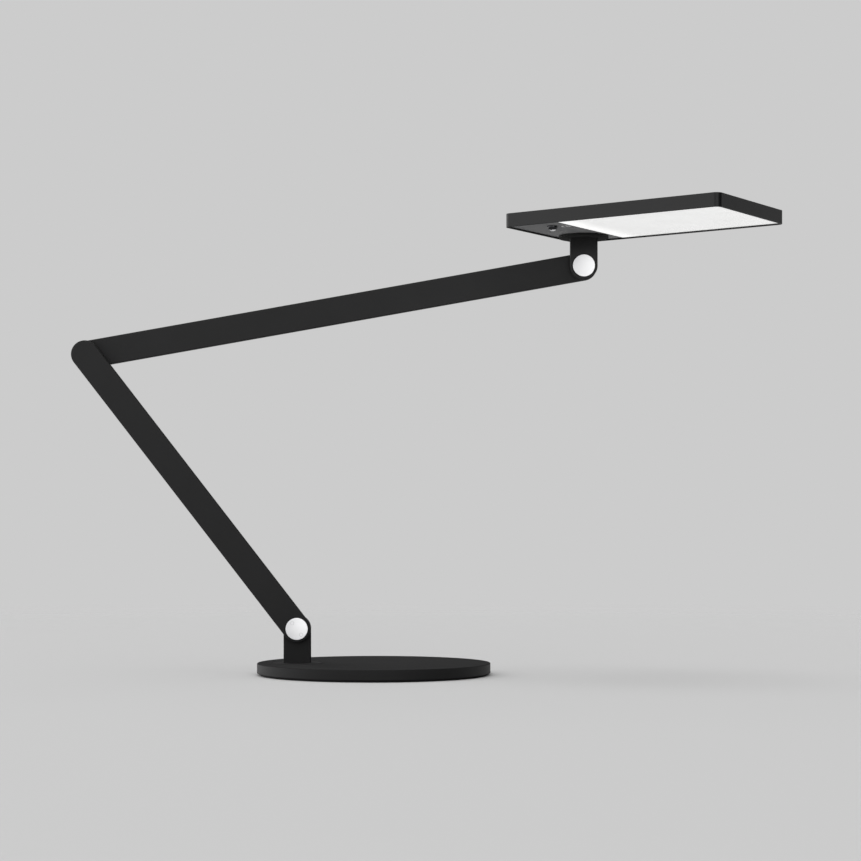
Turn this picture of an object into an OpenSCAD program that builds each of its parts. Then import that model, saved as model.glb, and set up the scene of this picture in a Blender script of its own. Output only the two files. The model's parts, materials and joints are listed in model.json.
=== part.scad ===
// Swing arm desk lamp with a round weighted base, two flat friction-jointed arms
// and a slim rectangular light panel on a tilting, swivelling bracket.
// Millimetres. The origin is the centre of the foot on the table, +Z is up and
// +X points from the base towards the light panel.

/* [Base] */
// Diameter of the round base
base_d = 230; // [180:1:280]
// Height of the base disc above its foot pad
base_h = 10; // [10:0.5:16]
// Wall of the base shell
base_wall = 2.5; // [1.5:0.1:3]
// Thickness of the rubber foot pad
foot_h = 1.8; // [1:0.1:4]
// How far the foot pad sits inside the base edge
foot_inset = 3.5; // [1:0.5:12]
// Thickness of the closing sheet under the base
sheet_t = 1.2; // [0.8:0.1:2]
// Distance from the base centre to the post
post_offset = 75.5; // [0:0.5:76]

/* [Swivels] */
// Diameter of the swivel disc let into the base and of the flange under the head
disc_d = 48.8; // [40:0.1:49]
// Diameter of the swivel stem in the base
stem_d = 14; // [10:0.5:18]
// Diameter of the swivel stem in the head
neck_d = 12; // [8:0.5:14]

/* [Arms] */
// Width of the flat arms, the post and the head bracket
arm_w = 27; // [25:0.5:34]
// Thickness of the flat arms, the post and the head bracket
arm_t = 7; // [6.5:0.5:12]
// Distance between the pivots of the lower arm
lower_len = 341; // [200:1:450]
// Distance between the pivots of the upper arm
upper_len = 498; // [300:1:600]
// Height of the shoulder pivot above the base
post_h = 33.7; // [28:0.1:60]
// Drop of the head pivot below the rim of the head
bracket_drop = 27.8; // [26:0.1:50]
// Lean of the lower arm from upright
lower_lean = 37.65; // [10:0.05:60]
// Rise of the upper arm from level
upper_rise = 10.05; // [0:0.05:40]

/* [Pivots] */
// Diameter of the bright caps on the pivots
cap_d = 22; // [20:0.5:23]
// How far the caps stand proud of the arms
cap_proud = 0.4; // [0:0.1:1]
// Diameter of the pivot bolts
bolt_d = 10; // [8:0.5:11]
// Gap between two arms, filled by a friction washer
washer_gap = 0.8; // [0.6:0.1:2]
// Diameter of the spanner holes in the shoulder cap
spanner_d = 3.8; // [2:0.1:4]
// Distance of each spanner hole from the middle of the cap
spanner_r = 7.2; // [6:0.1:8]

/* [Head] */
// Length of the head
head_l = 227; // [180:1:280]
// Width of the head
head_w = 135; // [120:0.5:160]
// Height of the head
head_h = 13; // [12.5:0.1:20]
// Radius of the upright corners of the head
head_r = 6; // [4:0.5:12]
// Wall of the head housing
head_wall = 1.5; // [1:0.1:2.5]
// Depth of the diffuser behind the rim
recess = 1.5; // [0.5:0.1:2]
// Thickness of the diffuser and of the control panel
panel_t = 2; // [1:0.1:2.5]
// Length of the control panel along the head
control_l = 54; // [53:0.5:80]
// Distance from the end of the head to its swivel
swivel_in_x = 27.5; // [26.5:0.5:33]
// Distance from the rear side of the head to its swivel
swivel_in_y = 32.5; // [30:0.5:50]
// Turn of the head about its swivel
head_yaw = 34.65; // [0:0.05:60]

/* [Button and inlet] */
// Diameter of the domed button
button_d = 10; // [8:0.5:12]
// Travel of the button
button_travel = 0.8; // [0.4:0.1:1]
// Distance of the button from the end of the head
button_in_x = 37; // [20:0.5:40]
// Distance of the button from the front side of the head
button_in_y = 28; // [18:0.5:40]
// Outer diameter of the collar of the power inlet
inlet_d = 5.8; // [5:0.1:6]

/* [Hidden] */
$fn = 96;
cut = 1;                 // overshoot of every cutting shape
run = 0.1;               // axial running clearance of a hinge or swivel
fit = 0.05;              // radial running fit
seat = 0.3;              // clearance of a dropped-in piece
cap_seat = 1.6;          // depth of the cap seats
spring_t = 1;            // spring washers
nut_t = 2.4;             // cap nuts
cup = 3;                 // depth of the cup for a spring washer and its cap nut

// Base, upwards from the table
sheet_z = foot_h;
floor_z = sheet_z + sheet_t;
base_top = foot_h + base_h;
roof_z = base_top - base_wall;
weight_top = roof_z - 0.2;
base_r = base_d / 2;
inner_r = base_r - base_wall;
weight_r = inner_r - seat;
edge_break = 0.6;
foot_r = base_r - foot_inset;
screw_d = 3;
screw_head_d = 6;
screw_head_h = 1.2;
boss_d = 8;
screw_ring = base_r - 35;
disc_t = 2;
disc_gap = 0.4;
disc_z = base_top - disc_t;
flange_t = 0.8;
flange_seat = disc_z - run - flange_t;
web_z = flange_seat - 1.2;
thin_washer_t = 0.5;
ring_nut_t = 1.5;
wire_d = 2;
wire_hole_d = 2.8;
stem_end = floor_z + wire_d + 0.5;
bush_wall = 1.5;
bush_flange_d = disc_d - 4;
nut_pocket_d = stem_d + 14;

// Arm layers: the post and the upper arm lie behind, the lower arm and the bracket in front
back_y = -arm_t / 2;
rear_y = arm_t / 2;
front_y = back_y - washer_gap - arm_t;
front_rear_y = front_y + arm_t;
front_mid = front_y + arm_t / 2;
arm_r = arm_w / 2;
post_x = -post_offset;
shoulder_z = base_top + post_h;
elbow_x = post_x - lower_len * sin(lower_lean);
elbow_z = shoulder_z + lower_len * cos(lower_lean);
wrist_x = elbow_x + upper_len * cos(upper_rise);
wrist_z = elbow_z + upper_len * sin(upper_rise);
washer_t = washer_gap - 2 * run;
coil_in = bolt_d / 2 + 1.2;
coil_out = 10;
coil_depth = 2.4;
channel_w = 12;
channel_depth = 3.6;
cover_w = 18;
cover_t = 1.2;
channel_start = 24;
lead_w = 5;
lead_t = 1.4;
lead_x = channel_w / 2 - lead_w / 2 - 1;
blind = arm_t - 2;
cover_screw_d = 2;
cover_screw_head_d = 3.8;
cover_screw_in = 16;

// Head, in its own frame with the swivel axis at the origin and the rim at zero
rim_z = wrist_z + bracket_drop;
panel_z = recess;
panel_top = panel_z + panel_t;
ceiling_z = head_h - head_wall;
head_x0 = -swivel_in_x;
head_x1 = head_l - swivel_in_x;
head_y0 = swivel_in_y - head_w;
head_y1 = swivel_in_y;
seam_x = head_x0 + control_l;
seam_gap = 0.3;
flange_z1 = panel_z - seat;
flange_z0 = flange_z1 - 2.3;
collar_d = neck_d + 5;
plate_t = 2;
plate_z = panel_top + 1.4;
bush_z = plate_z - flange_t;
collar_z = bush_z - run;
neck_nut_z = plate_z + plate_t + run;
neck_end = neck_nut_z + spring_t + ring_nut_t;
plate_l = 46;
plate_w = 54;
plate_screw_x = 19;
plate_screw_y = 21;
board_t = 1.2;
board_z = ceiling_z - board_t;
led_h = 0.8;
led_w = 3;
led_nx = 8;
led_ny = 6;
frame_wall = 1.4;
button_x = head_x0 + button_in_x;
button_y = head_y0 + button_in_y;
button_gap = 0.2;
button_lip_t = 0.8;
plunger_d = 3;
switch_w = 6;
switch_z = panel_top + run + button_lip_t + button_travel + 0.3;
switch_h = 2;
driver_w = 40;
driver_l = 46;
driver_x = head_x0 + head_wall + 1;
driver_y = button_y - 14;
driver_z = switch_z + switch_h;
driver_screw_d = 2;
driver_screw_in = 3.5;
head_wire_d = 1.5;
head_wire_z = neck_end + 0.1 + head_wire_d / 2;
jack_w = 9;
jack_l = 13;
jack_h = base_h - base_wall - sheet_t - 0.6;
jack_z = floor_z + 0.2;
jack_mid = jack_z + jack_h / 2;
jack_y = inner_r - seat - jack_l;
lead_turn = atan2(jack_y, post_offset);
lead_run = (jack_y - seat - wire_d / 2 * cos(lead_turn)) / sin(lead_turn);

// ---- shared shapes ----

// A cylinder along Y that starts at y
module y_disc(d, y, t) {
  translate([0, y + t, 0]) rotate([90, 0, 0]) cylinder(d = d, h = t);
}

// A flat ring along Y that starts at y
module y_ring(d_out, d_in, y, t) {
  difference() {
    y_disc(d_out, y, t);
    y_disc(d_in, y - cut, t + 2 * cut);
  }
}

// A flat outline in X and Z, made into a slab that starts at y
module slab(y, t) {
  translate([0, y + t, 0]) rotate([90, 0, 0]) linear_extrude(t) children();
}

// A strip with round ends along Z between two heights
module strip_outline(w, z0, z1) {
  translate([-w / 2, z0]) square([w, z1 - z0]);
  translate([0, z0]) circle(d = w);
  translate([0, z1]) circle(d = w);
}

// A rounded rectangle between two corners
module round_rect(x0, y0, x1, y1, r) {
  translate([x0 + r, y0]) square([x1 - x0 - 2 * r, y1 - y0]);
  translate([x0, y0 + r]) square([x1 - x0, y1 - y0 - 2 * r]);
  for (x = [x0 + r, x1 - r], y = [y0 + r, y1 - r]) translate([x, y]) circle(r = r);
}

// A tube along Z
module z_ring(d_out, d_in, z, t) {
  translate([0, 0, z]) difference() {
    cylinder(d = d_out, h = t);
    translate([0, 0, -cut]) cylinder(d = d_in, h = t + 2 * cut);
  }
}

// Places children in the frame of one of the assemblies
module at_post() translate([post_x, 0, 0]) children();
module at_lower() translate([post_x, 0, shoulder_z]) rotate([0, -lower_lean, 0]) children();
module at_upper() translate([elbow_x, 0, elbow_z]) rotate([0, 90 - upper_rise, 0]) children();
module at_wrist() translate([wrist_x, 0, wrist_z]) children();
module at_head() translate([wrist_x, front_mid, rim_z]) rotate([0, 0, -head_yaw]) children();
module at_base_screws() for (a = [45 : 90 : 315]) rotate([0, 0, a]) translate([screw_ring, 0, 0]) children();
module at_driver_screws() {
  for (x = [driver_screw_in, driver_l - driver_screw_in], y = [driver_screw_in, driver_w - driver_screw_in]) {
    translate([driver_x + x, driver_y + y, 0]) children();
  }
}
module at_plate_screws() {
  for (x = [-plate_screw_x, plate_screw_x], y = [-plate_screw_y, plate_screw_y]) {
    translate([x, y, 0]) children();
  }
}

// ---- base ----

module base_shell() {
  color("#1c1c1d") {
    difference() {
      rotate_extrude() polygon([
        [0, base_top], [base_r - edge_break, base_top], [base_r, base_top - edge_break],
        [base_r, sheet_z + edge_break], [base_r - edge_break, sheet_z], [inner_r, sheet_z],
        [inner_r, roof_z], [0, roof_z]
      ]);
      at_post() translate([0, 0, roof_z - cut]) cylinder(d = disc_d + 2 * disc_gap, h = base_wall + 2 * cut);
      translate([0, inner_r - cut, jack_mid]) rotate([-90, 0, 0]) cylinder(d = inlet_d + 0.8, h = base_wall + 2 * cut);
    }
    at_base_screws() z_ring(boss_d, screw_d + 2 * fit, floor_z, roof_z - floor_z);
  }
}

module base_weight() {
  color("#4a4a4c") difference() {
    translate([0, 0, floor_z]) cylinder(r = weight_r, h = weight_top - floor_z);
    at_post() {
      translate([0, 0, flange_seat]) cylinder(d = disc_d + 2 * disc_gap, h = base_h);
      translate([0, 0, floor_z - cut]) cylinder(d = stem_d + 2 * bush_wall + 2 * fit, h = base_h);
      translate([0, 0, floor_z - cut]) cylinder(d = nut_pocket_d, h = web_z - floor_z + cut);
    }
    at_base_screws() translate([0, 0, floor_z - cut]) cylinder(d = boss_d + 2 * seat, h = base_h);
    translate([-jack_w / 2 - seat, jack_y - seat, floor_z - cut]) cube([jack_w + 2 * seat, jack_l + 9, base_h]);
    translate([post_x, 0, floor_z - cut]) rotate([0, 0, lead_turn])
      translate([0, -wire_hole_d / 2, 0]) cube([lead_run + 3, wire_hole_d, wire_hole_d + cut]);
  }
}

module base_sheet() {
  color("#3b3b3d") difference() {
    translate([0, 0, sheet_z]) cylinder(r = inner_r - seat, h = sheet_t);
    at_base_screws() translate([0, 0, sheet_z - cut]) cylinder(d = screw_d + 0.4, h = sheet_t + 2 * cut);
  }
}

module foot_pad() {
  color("#121212") difference() {
    cylinder(r = foot_r, h = foot_h);
    at_base_screws() translate([0, 0, -cut]) cylinder(d = screw_head_d + 1, h = foot_h + 2 * cut);
  }
}

module base_screws() {
  color("silver") at_base_screws() {
    translate([0, 0, sheet_z - screw_head_h]) cylinder(d = screw_head_d, h = screw_head_h);
    translate([0, 0, sheet_z - 0.2]) cylinder(d = screw_d, h = roof_z - sheet_z - 0.3);
  }
}

module power_inlet() {
  color("#151515") difference() {
    union() {
      translate([-jack_w / 2, jack_y, jack_z]) cube([jack_w, jack_l, jack_h]);
      translate([0, jack_y + jack_l - 0.5, jack_mid]) rotate([-90, 0, 0])
        cylinder(d = inlet_d, h = base_wall + seat + 0.3);
    }
    translate([0, jack_y + 3, jack_mid]) rotate([-90, 0, 0]) cylinder(d = inlet_d - 0.8, h = jack_l + base_wall);
  }
  color("silver") translate([0, jack_y + 2.5, jack_mid]) rotate([-90, 0, 0]) cylinder(d = 2, h = jack_l - 1);
}

module base_lead() {
  color("#202022") translate([post_x, 0, floor_z + wire_d / 2 + 0.2]) rotate([0, 0, lead_turn])
    rotate([0, 90, 0]) cylinder(d = wire_d, h = lead_run, $fn = 32);
}

module swivel_bush() {
  color("#d9d4c4") at_post() difference() {
    union() {
      translate([0, 0, flange_seat]) cylinder(d = bush_flange_d, h = flange_t);
      translate([0, 0, web_z]) cylinder(d = stem_d + 2 * bush_wall, h = flange_seat - web_z + 0.2);
    }
    translate([0, 0, web_z - cut]) cylinder(d = stem_d + 2 * fit, h = base_h);
  }
}

// ---- post ----

module post() {
  color("#19191a") at_post() difference() {
    union() {
      translate([0, 0, disc_z]) cylinder(d = disc_d, h = disc_t);
      translate([0, 0, stem_end]) cylinder(d = stem_d, h = disc_z - stem_end + 0.2);
      slab(back_y, arm_t) {
        translate([-arm_r, base_top - 1]) square([arm_w, post_h + 1]);
        translate([0, shoulder_z]) circle(d = arm_w);
      }
    }
    translate([0, 0, shoulder_z]) {
      y_disc(bolt_d + 2 * fit, back_y - cut, arm_t + 2 * cut);
      y_disc(cap_d + 2 * seat, rear_y - cup, cup + cut);
    }
    translate([0, back_y / 2 + 0.2, stem_end - cut]) cylinder(d = wire_hole_d, h = shoulder_z - stem_end, $fn = 32);
  }
}

module swivel_washer() {
  color("#8f8f92") at_post() z_ring(stem_d + 8, stem_d + 2 * fit, web_z - run - thin_washer_t, thin_washer_t);
}

module swivel_nut() {
  color("#8f8f92") at_post() z_ring(stem_d + 10, stem_d + 2 * fit, web_z - run - thin_washer_t - ring_nut_t, ring_nut_t);
}

module post_lead() {
  color("#202022") at_post() translate([0, back_y / 2 + 0.2, stem_end + 0.5])
    cylinder(d = wire_d, h = shoulder_z - bolt_d / 2 - 1 - stem_end, $fn = 32);
}

module shoulder_washer() {
  color("#c9c2ac") at_lower() y_ring(arm_w - 1, 2 * coil_out, back_y - run - washer_t, washer_t);
}

// ---- arms ----

// Bar with a channel and a cover seat in its rear face, from pivot to pivot
module arm_bar(len, y) {
  difference() {
    slab(y, arm_t) strip_outline(arm_w, 0, len);
    slab(y + arm_t - channel_depth, channel_depth + cut)
      strip_outline(channel_w, channel_start, len - channel_start);
    slab(y + arm_t - cover_t, cover_t + cut)
      strip_outline(cover_w, channel_start, len - channel_start);
    translate([lead_x - lead_w / 2 - 0.5, y + arm_t - channel_depth, coil_out - 2])
      cube([lead_w + 1, lead_t + 0.8, len - 2 * coil_out + 4]);
    at_cover_screws(len) y_disc(cover_screw_d + 2 * fit, y + arm_t - channel_depth - 1.6, channel_depth);
  }
  // pillars that the cover is screwed to
  at_cover_screws(len) y_ring(4.6, cover_screw_d + 2 * fit, y + arm_t - channel_depth - 0.2, channel_depth - cover_t + 0.2);
}

module at_cover_screws(len) {
  for (z = [channel_start + cover_screw_in, len - channel_start - cover_screw_in]) {
    for (x = [-channel_w / 2 + 2]) translate([x, 0, z]) children();
  }
}

// Cover that drops into the seat, flush with the rear face
module arm_cover(len, y) {
  difference() {
    slab(y + arm_t - cover_t, cover_t) strip_outline(cover_w - 2 * seat, channel_start, len - channel_start);
    at_cover_screws(len) y_disc(cover_screw_d + 0.3, y, arm_t + cut);
  }
}

module cover_screws(len, y) {
  at_cover_screws(len) {
    y_disc(cover_screw_d, y + arm_t - channel_depth - 1.2, channel_depth + 1.3);
    y_disc(cover_screw_head_d, y + arm_t, 0.7);
  }
}

// Flat lead in the channel
module arm_lead(len, y) {
  translate([lead_x - lead_w / 2, y + arm_t - channel_depth + 0.3, coil_out + 1.5])
    cube([lead_w, lead_t, len - 2 * coil_out - 3]);
}

// Round recess for the coil of lead around a bolt
module coil_recess(y) {
  y_ring(2 * coil_out, 2 * coil_in, y, coil_depth + cut);
}

module lead_coil(y) {
  y_ring(2 * coil_out - 1, 2 * coil_in + 1, y, coil_depth - 0.6);
}

module lower_arm_bar() {
  color("#2d2d2e") at_lower() difference() {
    arm_bar(lower_len, front_y);
    y_disc(cap_d + 2 * seat, front_y - cut, cap_seat + cut);
    y_disc(bolt_d + 2 * fit, front_y, arm_t + cut);
    coil_recess(front_rear_y - coil_depth);
    translate([0, 0, lower_len]) {
      y_disc(bolt_d + 2 * fit, front_rear_y - blind, blind + cut);
      coil_recess(front_rear_y - coil_depth);
    }
  }
}

module lower_arm_cover() {
  color("#252526") at_lower() arm_cover(lower_len, front_y);
}

module lower_cover_screws() {
  color("#8f8f92") at_lower() cover_screws(lower_len, front_y);
}

module lower_arm_lead() {
  color("#202022") at_lower() {
    arm_lead(lower_len, front_y);
    lead_coil(front_rear_y - coil_depth + 0.3);
    translate([0, 0, lower_len]) lead_coil(front_rear_y - coil_depth + 0.3);
  }
}

module shoulder_bolt() {
  color("#d2d3d5") at_lower() difference() {
    union() {
      y_disc(cap_d, front_y - cap_proud, cap_seat + cap_proud);
      y_disc(bolt_d, front_y + cap_seat - 0.2, rear_y - front_y - cap_seat);
    }
    for (z = [-spanner_r, spanner_r]) translate([0, 0, z]) y_disc(spanner_d, front_y - cap_proud - cut, 1.2 + cut, $fn = 32);
  }
}

module shoulder_spring() {
  color("#8f8f92") at_lower() y_ring(cap_d - 3, bolt_d + 2 * fit, rear_y - cup + run, spring_t - run);
}

module shoulder_nut() {
  color("#d2d3d5") at_lower() difference() {
    y_disc(cap_d, rear_y - cup + spring_t, nut_t);
    y_disc(bolt_d + 2 * fit, rear_y - cup, cup - 0.2 + 2 * fit);
  }
}

module elbow_bolt() {
  color("#d2d3d5") at_upper() {
    y_disc(cap_d, rear_y - cap_seat, cap_seat + cap_proud);
    y_disc(bolt_d, front_rear_y - blind + 0.3, rear_y - cap_seat - front_rear_y + blind);
  }
}

module elbow_spring() {
  color("#8f8f92") at_upper() y_ring(cap_d - 3, bolt_d + 2 * fit, rear_y - cap_seat - spring_t + run, spring_t - run);
}

module elbow_washer() {
  color("#c9c2ac") at_upper() y_ring(arm_w - 1, 2 * coil_out, back_y - run - washer_t, washer_t);
}

module upper_arm_bar() {
  color("#2b2b2c") at_upper() difference() {
    arm_bar(upper_len, back_y);
    y_disc(bolt_d + 2 * fit, back_y - cut, arm_t + 2 * cut);
    y_disc(cap_d + 2 * seat, rear_y - cap_seat - spring_t, cap_seat + spring_t + cut);
    translate([0, 0, upper_len]) {
      y_disc(bolt_d + 2 * fit, back_y - cut, arm_t + 2 * cut);
      y_disc(cap_d + 2 * seat, rear_y - cup, cup + cut);
    }
  }
}

module upper_arm_cover() {
  color("#252526") at_upper() arm_cover(upper_len, back_y);
}

module upper_cover_screws() {
  color("#8f8f92") at_upper() cover_screws(upper_len, back_y);
}

module upper_arm_lead() {
  color("#202022") at_upper() arm_lead(upper_len, back_y);
}

module tilt_washer() {
  color("#c9c2ac") at_wrist() y_ring(arm_w - 1, 2 * coil_out, back_y - run - washer_t, washer_t);
}

// ---- head bracket ----

module head_bracket() {
  color("#171718") {
    at_wrist() difference() {
      slab(front_y, arm_t) {
        translate([-arm_r, 0]) square([arm_w, bracket_drop + flange_z1 - 1]);
        circle(d = arm_w);
      }
      y_disc(cap_d + 2 * seat, front_y - cut, cap_seat + cut);
      y_disc(bolt_d + 6, front_y, cap_seat + 1.8);
      y_disc(bolt_d + 2 * fit, front_y, arm_t + cut);
    }
    at_head() difference() {
      union() {
        translate([0, 0, flange_z0]) cylinder(d = disc_d, h = flange_z1 - flange_z0);
        translate([0, 0, flange_z1 - 0.2]) cylinder(d = collar_d, h = collar_z - flange_z1 + 0.2);
        translate([0, 0, collar_z - 0.2]) cylinder(d = neck_d, h = neck_end - collar_z + 0.2);
      }
      translate([0, 0, flange_z0 + 0.8]) cylinder(d = wire_hole_d, h = head_h, $fn = 32);
    }
  }
}

module tilt_bolt() {
  color("#8f8f92") at_wrist() {
    y_disc(bolt_d + 5.4, front_y + cap_seat, 1.8);
    y_disc(bolt_d, front_y + cap_seat + 1.6, rear_y - front_y - cap_seat - 1.8);
  }
}

module tilt_cap() {
  color("#dcdddf") at_wrist() y_disc(cap_d, front_y - cap_proud, cap_seat + cap_proud);
}

module tilt_spring() {
  color("#8f8f92") at_wrist() y_ring(cap_d - 3, bolt_d + 2 * fit, rear_y - cup + run, spring_t - run);
}

module tilt_nut() {
  color("#d2d3d5") at_wrist() difference() {
    y_disc(cap_d, rear_y - cup + spring_t, nut_t);
    y_disc(bolt_d + 2 * fit, rear_y - cup, cup - 0.2 + 2 * fit);
  }
}

module neck_washer() {
  color("#8f8f92") at_head() z_ring(neck_d + 8, neck_d + 2 * fit, neck_nut_z, spring_t - run);
}

module neck_nut() {
  color("#8f8f92") at_head() z_ring(neck_d + 8, neck_d + 2 * fit, neck_nut_z + spring_t, ring_nut_t);
}

// ---- head ----

module head_housing() {
  color("#333334") at_head() {
    difference() {
      linear_extrude(head_h) round_rect(head_x0, head_y0, head_x1, head_y1, head_r);
      translate([0, 0, -cut]) linear_extrude(ceiling_z + cut)
        round_rect(head_x0 + head_wall, head_y0 + head_wall, head_x1 - head_wall, head_y1 - head_wall,
                   head_r - head_wall);
    }
    at_plate_screws() z_ring(6, screw_d + 2 * fit, plate_z + plate_t, ceiling_z - plate_z - plate_t + 0.2);
    at_driver_screws() z_ring(4.6, driver_screw_d + 2 * fit, driver_z + board_t, ceiling_z - driver_z - board_t + 0.2);
  }
}

module swivel_plate() {
  color("#8f8f92") at_head() difference() {
    translate([-plate_l / 2, -plate_w / 2, plate_z]) cube([plate_l, plate_w, plate_t]);
    translate([0, 0, plate_z - cut]) cylinder(d = neck_d + 2 * bush_wall + 2 * fit, h = plate_t + 2 * cut);
    at_plate_screws() translate([0, 0, plate_z - cut]) cylinder(d = screw_d + 0.4, h = plate_t + 2 * cut);
  }
}

module plate_screws() {
  color("silver") at_head() at_plate_screws() {
    translate([0, 0, plate_z - screw_head_h]) cylinder(d = screw_head_d, h = screw_head_h);
    translate([0, 0, plate_z - 0.2]) cylinder(d = screw_d, h = ceiling_z - plate_z - 0.2);
  }
}

module neck_bush() {
  color("#d9d4c4") at_head() difference() {
    union() {
      translate([0, 0, bush_z]) cylinder(d = neck_d + 2 * bush_wall + 6, h = flange_t);
      translate([0, 0, plate_z - 0.2]) cylinder(d = neck_d + 2 * bush_wall, h = plate_t + 0.2);
    }
    translate([0, 0, bush_z - cut]) cylinder(d = neck_d + 2 * fit, h = head_h);
  }
}

module led_board() {
  color("#e9e9e4") at_head() translate([0, 0, board_z]) linear_extrude(board_t)
    round_rect(seam_x + seat, head_y0 + head_wall + seat, head_x1 - head_wall - seat, head_y1 - head_wall - seat,
               head_r - head_wall - seat);
}

module leds() {
  pitch_x = (head_x1 - head_wall - seam_x) / led_nx;
  pitch_y = (head_w - 2 * head_wall) / led_ny;
  color("#f2e27a") at_head() for (i = [0 : led_nx - 1], j = [0 : led_ny - 1]) {
    translate([seam_x + (i + 0.5) * pitch_x - led_w / 2, head_y0 + head_wall + (j + 0.5) * pitch_y - led_w / 2,
               board_z - led_h])
      cube([led_w, led_w, led_h]);
  }
}

module light_frame() {
  x0 = seam_x + seat;
  x1 = head_x1 - head_wall - seat;
  y0 = head_y0 + head_wall + seat;
  y1 = head_y1 - head_wall - seat;
  r = head_r - head_wall - seat;
  color("#f4f4f2") at_head() translate([0, 0, panel_top]) linear_extrude(board_z - panel_top) difference() {
    round_rect(x0, y0, x1, y1, r);
    round_rect(x0 + frame_wall, y0 + frame_wall, x1 - frame_wall, y1 - frame_wall, r - frame_wall);
  }
}

// Outline of the opening of the head, with the seam side left square
module opening_outline() {
  round_rect(head_x0 + head_wall + seat / 2, head_y0 + head_wall + seat / 2,
             head_x1 - head_wall - seat / 2, head_y1 - head_wall - seat / 2, head_r - head_wall - seat / 2);
}

module diffuser() {
  color("#f3f3f1") at_head() translate([0, 0, panel_z]) linear_extrude(panel_t) intersection() {
    opening_outline();
    translate([seam_x + seam_gap / 2, head_y0]) square([head_l, head_w]);
  }
}

module control_panel() {
  color("#3c3c3f") at_head() translate([0, 0, panel_z]) linear_extrude(panel_t) difference() {
    opening_outline();
    translate([seam_x - seam_gap / 2, head_y0]) square([head_l, head_w]);
    circle(d = collar_d + 2);
    translate([button_x, button_y]) circle(d = button_d + 2 * button_gap);
  }
}

module driver_board() {
  color("#1f5a3a") at_head() difference() {
    translate([driver_x, driver_y, driver_z]) cube([driver_l, driver_w, board_t]);
    at_driver_screws() translate([0, 0, driver_z - cut]) cylinder(d = driver_screw_d + 0.4, h = board_t + 2 * cut);
  }
}

module driver_screws() {
  color("silver") at_head() at_driver_screws() {
    translate([0, 0, driver_z - 0.8]) cylinder(d = 3.8, h = 0.8);
    translate([0, 0, driver_z - 0.2]) cylinder(d = driver_screw_d, h = ceiling_z - driver_z - 0.2);
  }
}

module button_switch() {
  color("#2a2a2c") at_head() difference() {
    translate([button_x - switch_w / 2, button_y - switch_w / 2, switch_z]) cube([switch_w, switch_w, switch_h]);
    translate([button_x, button_y, switch_z - cut]) cylinder(d = plunger_d + 0.4, h = switch_h + cut - 0.4, $fn = 32);
  }
}

module head_lead() {
  color("#202022") at_head() translate([0, 0, head_wire_z]) rotate([90, 0, 0])
    cylinder(d = head_wire_d, h = 6 - driver_y - driver_w, $fn = 32);
}

module power_button() {
  color("#dcdddf") at_head() translate([button_x, button_y, panel_z]) {
    difference() {
      sphere(d = button_d);
      cylinder(d = 2 * button_d, h = button_d);
    }
    translate([0, 0, -0.01]) cylinder(d = button_d, h = panel_t + run + 0.02);
    translate([0, 0, panel_t + run]) cylinder(d = button_d + 2, h = button_lip_t);
    translate([0, 0, panel_t + run]) cylinder(d = plunger_d, h = switch_z - panel_top - run + 0.8, $fn = 32);
  }
}

base_shell();
base_weight();
base_sheet();
foot_pad();
base_screws();
power_inlet();
base_lead();
swivel_bush();
post();
swivel_washer();
swivel_nut();
post_lead();
shoulder_washer();
lower_arm_bar();
lower_arm_cover();
lower_cover_screws();
lower_arm_lead();
shoulder_bolt();
shoulder_spring();
shoulder_nut();
elbow_bolt();
elbow_spring();
elbow_washer();
upper_arm_bar();
upper_arm_cover();
upper_cover_screws();
upper_arm_lead();
tilt_washer();
head_bracket();
tilt_bolt();
tilt_cap();
tilt_spring();
tilt_nut();
neck_washer();
neck_nut();
head_housing();
swivel_plate();
plate_screws();
neck_bush();
led_board();
leds();
light_frame();
diffuser();
control_panel();
driver_board();
driver_screws();
button_switch();
head_lead();
power_button();
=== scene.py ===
import json
import math
import bmesh
import bpy
from mathutils import Matrix, Vector


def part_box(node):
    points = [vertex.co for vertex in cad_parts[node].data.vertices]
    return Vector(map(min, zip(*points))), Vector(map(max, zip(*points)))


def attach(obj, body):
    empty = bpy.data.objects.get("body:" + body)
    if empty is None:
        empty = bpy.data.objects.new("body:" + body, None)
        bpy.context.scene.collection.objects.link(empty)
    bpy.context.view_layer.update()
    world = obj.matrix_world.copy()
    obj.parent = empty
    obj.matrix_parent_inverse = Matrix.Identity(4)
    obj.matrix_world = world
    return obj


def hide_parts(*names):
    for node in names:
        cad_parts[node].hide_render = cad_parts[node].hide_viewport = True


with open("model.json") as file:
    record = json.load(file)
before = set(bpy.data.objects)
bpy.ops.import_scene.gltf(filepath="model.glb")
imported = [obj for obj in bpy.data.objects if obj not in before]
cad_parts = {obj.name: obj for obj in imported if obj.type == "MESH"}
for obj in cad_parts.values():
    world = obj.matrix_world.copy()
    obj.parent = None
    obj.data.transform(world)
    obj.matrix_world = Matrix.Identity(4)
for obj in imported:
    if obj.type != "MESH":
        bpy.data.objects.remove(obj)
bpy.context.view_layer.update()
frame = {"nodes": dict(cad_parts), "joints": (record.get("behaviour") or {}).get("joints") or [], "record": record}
mm = 0.001
scene = bpy.context.scene
record = frame["record"]
pivots = {joint["name"]: Vector(joint["pos_m"]) for joint in frame["joints"] if joint.get("pos_m")}

# ---- camera ----

viewpoint = {"place": (0.0559, -2.0674, 0.1389), "lens": 87.58, "sensor": 36.0, "lift": 0.12}


def addCamera(look):
    data = bpy.data.cameras.new("deskCamera")
    data.lens = look["lens"]
    data.sensor_width = look["sensor"]
    data.shift_y = look["lift"]
    data.clip_start = 0.01
    data.clip_end = 60.0
    camera = bpy.data.objects.new("deskCamera", data)
    scene.collection.objects.link(camera)
    camera.location = look["place"]
    camera.rotation_euler = (math.radians(90), 0, 0)
    scene.camera = camera


addCamera(viewpoint)
scene.view_settings.view_transform = "Standard"
print("camera set")

# ---- shader groups shared by the finishes ----


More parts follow.
